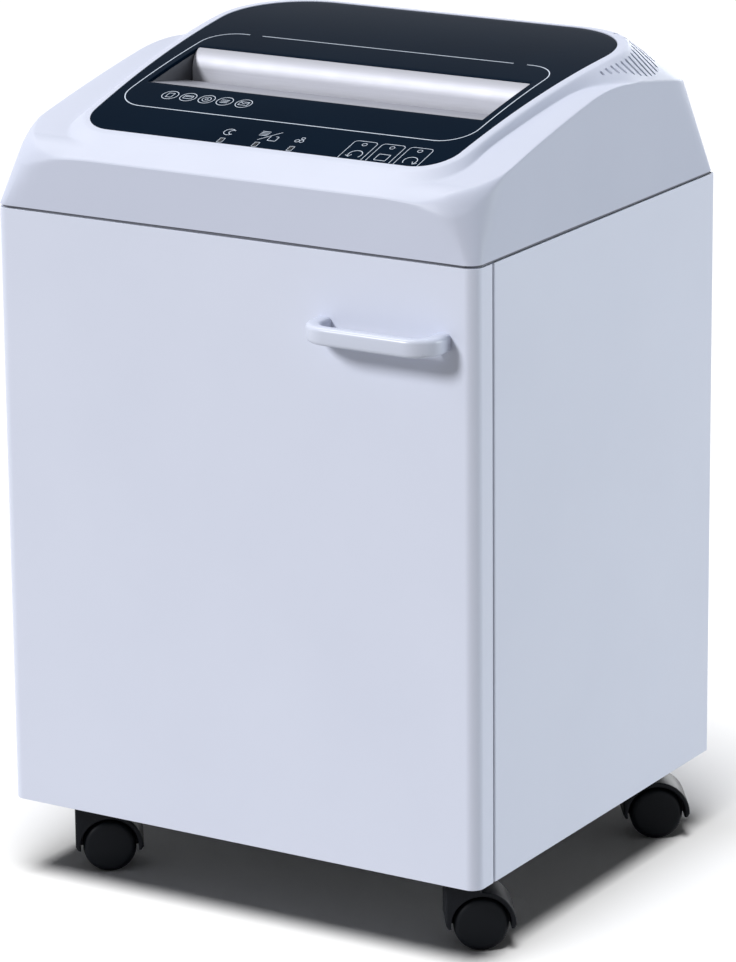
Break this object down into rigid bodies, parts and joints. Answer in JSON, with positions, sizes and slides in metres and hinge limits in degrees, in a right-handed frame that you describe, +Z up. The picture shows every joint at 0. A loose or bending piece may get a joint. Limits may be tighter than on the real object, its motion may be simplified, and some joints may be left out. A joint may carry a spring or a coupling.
{
  "type": "paper shredder",
  "caption": "Upright office paper shredder: steel cabinet with hinged door, waste bin, geared cutter rollers, sloping lid with feed slot and dark touch panel, on swivel casters.",
  "frame": {"origin": "plan centre of the cabinet at floor level, between the wheels", "axes": "+Z up, -Y towards the front door, +X to the right when facing the door"},
  "size_m": [0.403, 0.3836, 0.6185],
  "materials": {
    "cabinet_paint": "pale grey powder coat",
    "zinc_sheet": "zinc-plated sheet",
    "lid_plastic": "fine-textured white moulding",
    "panel_film": "dark glossy panel",
    "guide_silver": "satin silver lacquer",
    "cheek_plastic": "dark grey moulding",
    "handle_finish": "pale grey satin moulding",
    "window_clear": "clear window",
    "bin_plastic": "dark moulded bin",
    "black_plastic": "black moulding",
    "caster_plastic": "black nylon",
    "wheel_tread": "black tread",
    "cutter_steel": "hardened steel",
    "bush_bronze": "sintered bronze",
    "motor_alloy": "cast alloy",
    "board_green": "circuit board",
    "screw_steel": "plated screws"
  },
  "bodies": {
    "cabinet": {"base_pan": "zinc_sheet", "bin_sensor": "black_plastic", "cabinet_shell": "cabinet_paint", "caster_plates": "cutter_steel", "chassis_plate": "zinc_sheet", "chassis_screws": "screw_steel", "control_panel": "panel_film", "door_switch": "black_plastic", "feed_guide": "guide_silver", "feed_lip": "guide_silver", "front_comb": "black_plastic", "gear_stud": "cutter_steel", "hinge_pins": "cutter_steel", "indicator_windows": "window_clear", "left_side_plate": "zinc_sheet", "lid": "lid_plastic", "lid_screws": "screw_steel", "magnet_catch": "black_plastic", "mains_inlet": "black_plastic", "motor_bearings": "cutter_steel", "motor_cradle": "zinc_sheet", "motor_end_cap": "motor_alloy", "motor_housing": "motor_alloy", "motor_stator": "cutter_steel", "paper_sensor": "black_plastic", "power_board": "board_green", "power_plate": "zinc_sheet", "rear_comb": "black_plastic", "right_side_plate": "zinc_sheet", "rocker_frame": "black_plastic", "roller_bushes": "bush_bronze", "run_capacitor": "motor_alloy", "throat_cheeks": "cheek_plastic", "tie_rods": "cutter_steel", "top_rail": "zinc_sheet", "touch_board": "board_green", "waste_bin": "bin_plastic"},
    "door": {"door_panel": "cabinet_paint", "door_handle": "handle_finish", "handle_screws": "screw_steel", "hinge_bushes": "black_plastic", "door_striker": "zinc_sheet"},
    "rear_cutter": {"rear_roller": "cutter_steel", "rear_timing_gear": "cutter_steel", "drive_gear": "cutter_steel"},
    "front_cutter": {"front_roller": "cutter_steel", "front_timing_gear": "cutter_steel"},
    "cluster": {"cluster_gear": "cutter_steel"},
    "rotor": {"motor_rotor": "cutter_steel", "motor_fan": "black_plastic", "motor_pinion": "cutter_steel"},
    "rocker": {"rocker_switch": "black_plastic"},
    "rear_left_caster": {"rear_left_caster_hood": "caster_plastic"},
    "rear_left_wheels": {"rear_left_caster_wheels": "wheel_tread"},
    "front_left_caster": {"front_left_caster_hood": "caster_plastic"},
    "front_left_wheels": {"front_left_caster_wheels": "wheel_tread"},
    "rear_right_caster": {"rear_right_caster_hood": "caster_plastic"},
    "rear_right_wheels": {"rear_right_caster_wheels": "wheel_tread"},
    "front_right_caster": {"front_right_caster_hood": "caster_plastic"},
    "front_right_wheels": {"front_right_caster_wheels": "wheel_tread"}
  },
  "joints": [
    {"name": "door_hinge", "type": "hinge", "parent": "cabinet", "child": "door", "pos_m": [-0.193, -0.16875, 0.2865], "axis": [0, 0, -1], "range_deg": [0, 100]},
    {"name": "rear_cutter_spin", "type": "hinge", "parent": "cabinet", "child": "rear_cutter", "pos_m": [0, 0.006, 0.546], "axis": [1, 0, 0], "continuous": true},
    {"name": "front_cutter_spin", "type": "hinge", "parent": "cabinet", "child": "front_cutter", "pos_m": [0, -0.024, 0.546], "axis": [1, 0, 0], "continuous": true},
    {"name": "cluster_spin", "type": "hinge", "parent": "cabinet", "child": "cluster", "pos_m": [-0.155, 0.05956, 0.5655], "axis": [1, 0, 0], "continuous": true},
    {"name": "rotor_spin", "type": "hinge", "parent": "cabinet", "child": "rotor", "pos_m": [-0.07, 0.09624, 0.5577], "axis": [1, 0, 0], "continuous": true},
    {"name": "rocker_tilt", "type": "hinge", "parent": "cabinet", "child": "rocker", "pos_m": [0.127, 0.168, 0.4775], "axis": [1, 0, 0], "range_deg": [0, 16]},
    {"name": "rear_left_swivel", "type": "hinge", "parent": "cabinet", "child": "rear_left_caster", "pos_m": [-0.1606, 0.13315, 0.05], "axis": [0, 0, 1], "continuous": true},
    {"name": "rear_left_wheel_spin", "type": "hinge", "parent": "rear_left_caster", "child": "rear_left_wheels", "pos_m": [-0.1491, 0.14114, 0.02], "axis": [-0.5707, 0.8211, 0], "continuous": true},
    {"name": "front_left_swivel", "type": "hinge", "parent": "cabinet", "child": "front_left_caster", "pos_m": [-0.1606, -0.13315, 0.05], "axis": [0, 0, 1], "continuous": true},
    {"name": "front_left_wheel_spin", "type": "hinge", "parent": "front_left_caster", "child": "front_left_wheels", "pos_m": [-0.1491, -0.12516, 0.02], "axis": [-0.5707, 0.8211, 0], "continuous": true},
    {"name": "rear_right_swivel", "type": "hinge", "parent": "cabinet", "child": "rear_right_caster", "pos_m": [0.1606, 0.13315, 0.05], "axis": [0, 0, 1], "continuous": true},
    {"name": "rear_right_wheel_spin", "type": "hinge", "parent": "rear_right_caster", "child": "rear_right_wheels", "pos_m": [0.1721, 0.14114, 0.02], "axis": [-0.5707, 0.8211, 0], "continuous": true},
    {"name": "front_right_swivel", "type": "hinge", "parent": "cabinet", "child": "front_right_caster", "pos_m": [0.1606, -0.13315, 0.05], "axis": [0, 0, 1], "continuous": true},
    {"name": "front_right_wheel_spin", "type": "hinge", "parent": "front_right_caster", "child": "front_right_wheels", "pos_m": [0.1721, -0.12516, 0.02], "axis": [-0.5707, 0.8211, 0], "continuous": true}
  ],
  "couplings": [
    {"joint": "front_cutter_spin", "follows": "rear_cutter_spin", "ratio": -1},
    {"joint": "cluster_spin", "follows": "rear_cutter_spin", "ratio": -3.75},
    {"joint": "rotor_spin", "follows": "rear_cutter_spin", "ratio": 15}
  ]
}
